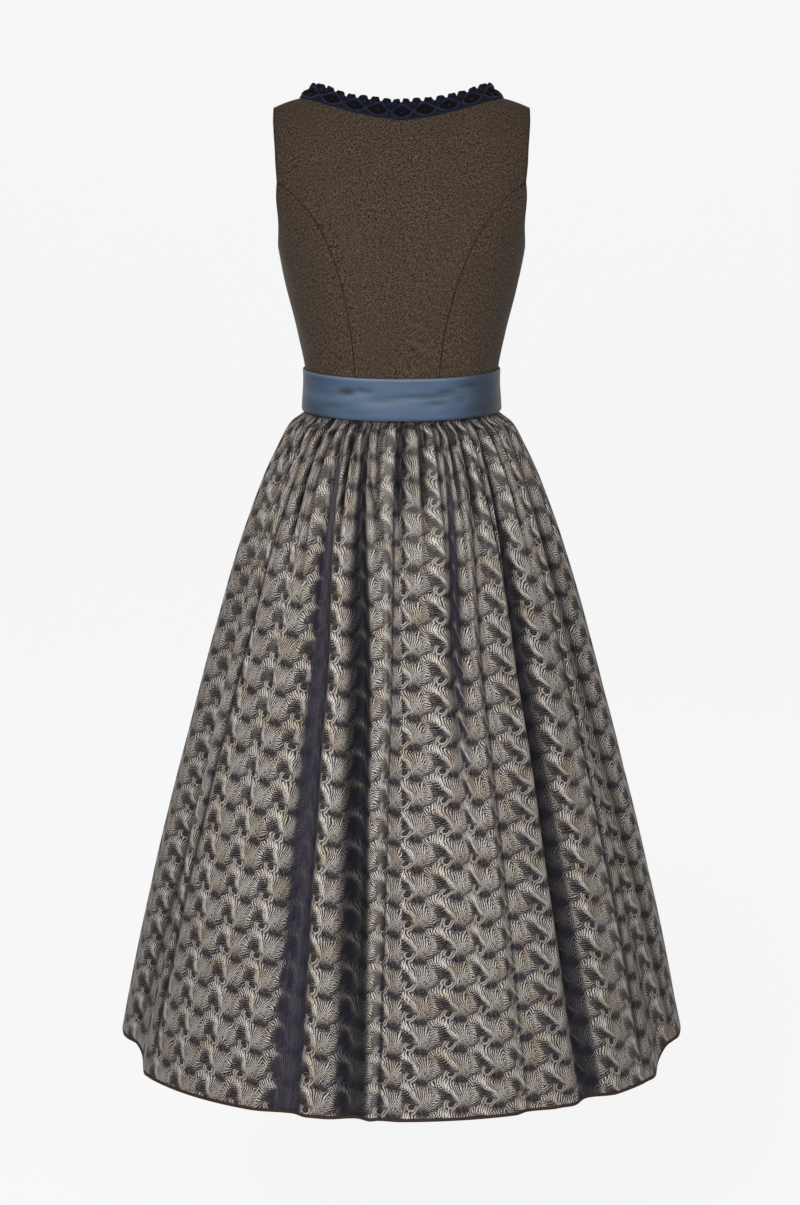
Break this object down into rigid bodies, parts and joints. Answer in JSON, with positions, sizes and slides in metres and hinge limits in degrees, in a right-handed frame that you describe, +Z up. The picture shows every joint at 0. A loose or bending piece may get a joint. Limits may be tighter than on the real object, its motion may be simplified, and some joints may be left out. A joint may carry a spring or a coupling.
{
  "type": "dirndl with tied apron",
  "caption": "Sleeveless brown wool dirndl bodice with a ruched navy velvet neck trim, a long gathered jacquard skirt and a blue satin apron tied at the front.",
  "frame": {"origin": "midway between the two shoulder seams, where the wearer's shoulders carry it", "axes": "+Z up, the garment's front towards -Y and its back towards +Y, the wearer's left towards +X"},
  "size_m": [0.7262, 0.5884, 1.2279],
  "materials": {
    "wool": "brown melange wool, dull and slightly hairy",
    "velvet": "navy velvet with a soft nap",
    "satin": "blue satin with a soft sheen",
    "jacquard": "beige curls woven on a dark navy ground",
    "hem_tape": "dark brown woven tape, dull"
  },
  "bodies": {
    "root": {"bodice_back_centre": "wool", "bodice_back_side_left": "wool", "bodice_back_side_right": "wool", "bodice_front_side_left": "wool", "bodice_front_side_right": "wool", "bodice_front_left": "wool", "bodice_front_right": "wool", "neck_trim_back": "velvet", "neck_trim_front_left": "velvet", "neck_trim_front_right": "velvet", "skirt_back_left": "jacquard", "skirt_back_right": "jacquard", "skirt_front_left": "jacquard", "skirt_front_right": "jacquard", "hem_binding_back": "hem_tape", "hem_binding_front": "hem_tape", "apron_waistband": "satin", "apron_tie": "satin", "apron_panel": "satin", "apron_bow_knot": "satin", "apron_bow_left": "satin", "apron_bow_right": "satin", "apron_tail_left": "satin", "apron_tail_right": "satin"}
  },
  "joints": []
}
